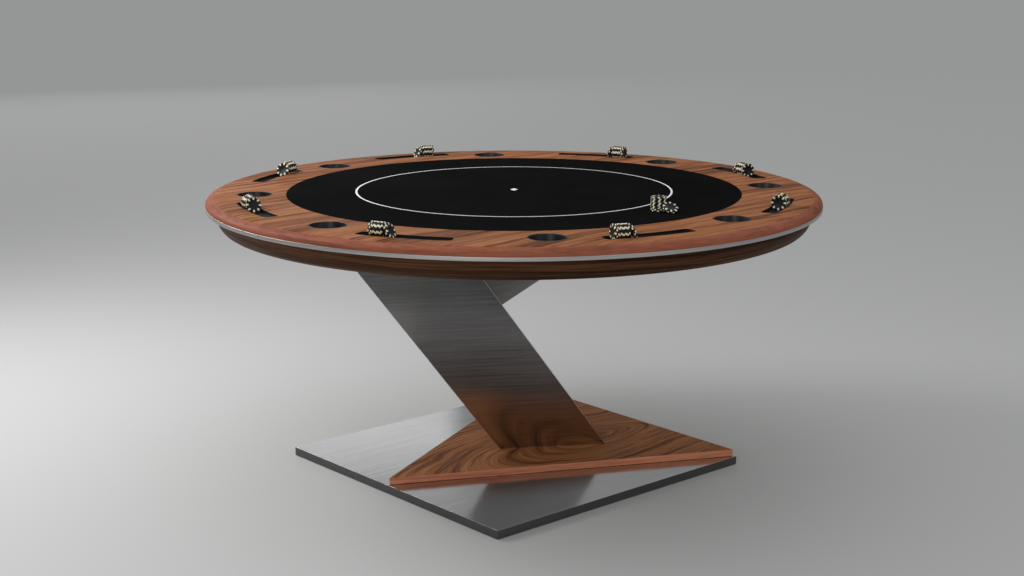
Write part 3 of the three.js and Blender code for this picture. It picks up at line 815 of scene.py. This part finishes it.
def make_troughs():
    low = TROUGH_LOW.z
    top = TROUGH_HIGH.z
    floor = low + TROUGH_WALL
    stack = [
        (GAP, low), (GAP, top - 0.0003), (GAP + 0.0003, top), (GAP + 0.0008, top),
        (GAP + TROUGH_WALL, top - 0.0003), (GAP + TROUGH_WALL, floor + 0.003),
        (GAP + TROUGH_WALL + 0.0009, floor + 0.0009), (GAP + TROUGH_WALL + 0.003, floor),
    ]
    turn = Matrix.Rotation(math.radians(seat_turn(1)), 3, "Z")
    bm = bmesh.new()
    loft(bm, [[turn @ point for point in slot_outline(inset, z)] for inset, z in stack])
    first = finish_mesh("slot_liner_1", bm, [MATERIALS["liner"]])
    for seat, liner in at_every_seat(first, "slot_liner_"):
        place(liner, "table", "black_metal", f"trough_{seat}")


# ---------------------------------------------------------------- chips
def chip_profile():
    """(radius, height) from the centre of one face over the rim to the centre of the other."""
    h = CHIP_HALF_THICKNESS
    face = [
        (INLAY_RADIUS, h - 0.00028), (INLAY_RADIUS + 0.0003, h), (CHIP_RADIUS - 0.0009, h),
        (CHIP_RADIUS - 0.00025, h - 0.0003), (CHIP_RADIUS, h - 0.0008),
    ]
    return face, [(r, -z) for r, z in reversed(face)]


def add_chip(bm, matrix):
    """One chip with its axis along local Z: a black disc with eight cream edge spots."""
    upper, lower = chip_profile()
    rings = [
        [
            bm.verts.new(matrix @ Vector((
                radius * math.cos(math.tau * i / CHIP_SEGMENTS),
                radius * math.sin(math.tau * i / CHIP_SEGMENTS),
                z,
            )))
            for i in range(CHIP_SEGMENTS)
        ]
        for radius, z in upper + lower
    ]
    bm.faces.new(rings[0])
    bm.faces.new(list(reversed(rings[-1])))
    for level, (a, b) in enumerate(zip(rings, rings[1:])):
        spotted = 0 < level < len(rings) - 2
        for i in range(CHIP_SEGMENTS):
            j = (i + 1) % CHIP_SEGMENTS
            face = bm.faces.new((a[i], b[i], b[j], a[j]))
            if spotted and i % SPOT_PERIOD < SPOT_SEGMENTS:
                face.material_index = 1


def chip_turn(degrees):
    """Turns a chip in its own plane so that a spot's middle is at degrees from its local X."""
    return Matrix.Rotation(math.radians(degrees - SPOT_CENTRE), 4, "Z")


def finish_chips(name, bm, body, node):
    mesh = bpy.data.meshes.new(name)
    bmesh.ops.recalc_face_normals(bm, faces=bm.faces)
    bm.to_mesh(mesh)
    bm.free()
    smooth_but_sharp(mesh, sharp_degrees=50)
    mesh.materials.append(MATERIALS["chip"])
    mesh.materials.append(MATERIALS["spot"])
    obj = bpy.data.objects.new(name, mesh)
    bpy.context.scene.collection.objects.link(obj)
    place(obj, body, "chip_body", node)


def make_rows():
    """Eleven chips on edge along each slot, and two more that lean back on them."""
    per_chip = math.degrees(CHIP_PITCH / SLOT_RADIUS_AT)
    tilt = math.radians(PROPPED_TILT)
    centre_height = RAIL_TOP - ROW_SUNK + CHIP_RADIUS
    for seat, row_start in enumerate(ROW_STARTS, start=1):
        draw = random.Random(100 + seat)
        bm = bmesh.new()
        start = SLOT_ANGLE - SLOT_HALF_ANGLE + row_start + seat_turn(seat)

        def add(angle, lean, spin):
            """Axis along the slot; lean tips the chip's top back towards the row."""
            nudge = draw.uniform(-0.0003, 0.0003)
            centre = polar(SLOT_RADIUS_AT + nudge, angle, centre_height + draw.uniform(0, 0.0004))
            matrix = (
                Matrix.Translation(centre)
                @ Matrix.Rotation(math.radians(angle), 4, "Z")
                @ Matrix.Rotation(lean, 4, "X")
                @ Matrix.Rotation(math.radians(-90), 4, "X")
                @ chip_turn(spin)
            )
            add_chip(bm, matrix)

        for i in range(ROW_CHIPS):
            add(start + per_chip * (i + 0.5), 0, CHIP_TURNS[i])
        row_end = start + per_chip * ROW_CHIPS
        for i in range(PROPPED_CHIPS):
            from_row = CHIP_RADIUS * math.sin(tilt) + CHIP_PITCH * (i + 0.5) / math.cos(tilt)
            add(row_end + math.degrees(from_row / SLOT_RADIUS_AT), tilt, PROPPED_TURNS[i])
        finish_chips(f"chips_in_slot_{seat}", bm, f"chip_row_{seat}", f"chip_row_{seat}")


def make_loose_chips():
    draw = random.Random(7)
    centre = (STACK_LOW + STACK_HIGH) / 2
    bm = bmesh.new()
    for i in range(STACK_CHIPS):
        at = Vector((
            centre.x + draw.uniform(-0.0004, 0.0004),
            centre.y + draw.uniform(-0.0004, 0.0004),
            STACK_LOW.z + CHIP_PITCH * (i + 0.5),
        ))
        add_chip(bm, Matrix.Translation(at) @ chip_turn(CHIP_TURNS[i] + STACK_SPIN))
    finish_chips("stacked_chips", bm, "chip_stack", "chip_stack")

    middle = (LEANING_LOW + LEANING_HIGH) / 2
    tip = Vector((0, 0, 1)).rotation_difference(LEANING_NORMAL).to_matrix().to_4x4()
    bm = bmesh.new()
    for side, turn in zip((-0.5, 0.5), LEANING_TURNS):
        at = middle + LEANING_NORMAL * CHIP_PITCH * side
        add_chip(bm, Matrix.Translation(at) @ tip @ chip_turn(turn))
    finish_chips("leaning_pair", bm, "leaning_chips", "leaning_chips")


# ---------------------------------------------------------------- studio
CAMERA_AZIMUTH = 48.8
CAMERA_PITCH = 12.507
CAMERA_YAW = 0.09
CAMERA_AT = Vector((-0.0109, -4.3756, 1.4597))
CAMERA_LENS = 57.84
CAMERA_SHIFT = 0.5 / 1024


def make_camera():
    turn = Matrix.Rotation(math.radians(CAMERA_AZIMUTH), 3, "Z")
    data = bpy.data.cameras.new("camera")
    data.sensor_width = 36
    data.lens = CAMERA_LENS
    data.shift_x = -CAMERA_SHIFT
    data.shift_y = CAMERA_SHIFT
    camera = bpy.data.objects.new("camera", data)
    camera.location = turn @ CAMERA_AT
    camera.rotation_euler = (
        math.radians(90 - CAMERA_PITCH), 0, math.radians(CAMERA_AZIMUTH - CAMERA_YAW)
    )
    bpy.context.scene.collection.objects.link(camera)
    bpy.context.scene.camera = camera


def area_light(name, at, target, size, power, colour=(1, 1, 1)):
    """A soft box, placed in the camera's own directions: x right, y away from it."""
    turn = Matrix.Rotation(math.radians(CAMERA_AZIMUTH), 3, "Z")
    data = bpy.data.lights.new(name, "AREA")
    data.shape = "RECTANGLE"
    data.size, data.size_y = size
    data.energy = power
    data.color = colour
    light = bpy.data.objects.new(name, data)
    place_at = turn @ Vector(at)
    light.location = place_at
    light.rotation_euler = (turn @ Vector(target) - place_at).to_track_quat("-Z", "Y").to_euler()
    bpy.context.scene.collection.objects.link(light)


def make_studio():
    bm = bmesh.new()
    bmesh.ops.create_grid(bm, x_segments=8, y_segments=8, size=90)
    paper = Shader("floor", Base_Color=(0.545, 0.545, 0.54, 1), Roughness=0.6, Specular_IOR_Level=0.25)
    floor = finish_mesh("floor", bm, [paper.material])

    world = bpy.data.worlds.new("studio")
    world.use_nodes = True
    tree = world.node_tree
    direction = tree.nodes.new("ShaderNodeTexCoord").outputs["Generated"]
    height = tree.nodes.new("ShaderNodeSeparateXYZ")
    tree.links.new(direction, height.inputs[0])
    dome = tree.nodes.new("ShaderNodeValToRGB")
    tree.links.new(height.outputs[2], dome.inputs[0])
    stops = ((0.0, 0.10), (0.22, 0.12), (0.36, 0.40), (1.0, 0.76))
    while len(dome.color_ramp.elements) < len(stops):
        dome.color_ramp.elements.new(0.5)
    for element, (position, level) in zip(dome.color_ramp.elements, stops):
        element.position = position
        element.color = (level * 0.98, level * 0.99, level, 1)
    tree.links.new(dome.outputs[0], tree.nodes["Background"].inputs["Color"])
    bpy.context.scene.world = world

    area_light("left_key", (-2.35, 0.7, 2.2), (-0.7, 0, 0.7), (1.4, 1.4), 56)
    area_light("left_back", (-3.6, 10, 2.6), (0, 0, 0.3), (6.4, 2.2), 30)
    area_light("right_front", (2.8, -3.4, 2.2), (0, 0, 0.6), (1.8, 1.8), 15)
    area_light("left_front", (-1.3, -4.6, 2.0), (0.1, 0, 0.1), (1.8, 0.9), 32)


make_camera()
make_base()
make_wedge()
make_pedestal()
make_rail()
make_band_and_apron()
make_playing_surface()
make_cups()
make_troughs()
make_rows()
make_loose_chips()
make_studio()

view_settings = bpy.context.scene.view_settings
view_settings.view_transform = "Standard"
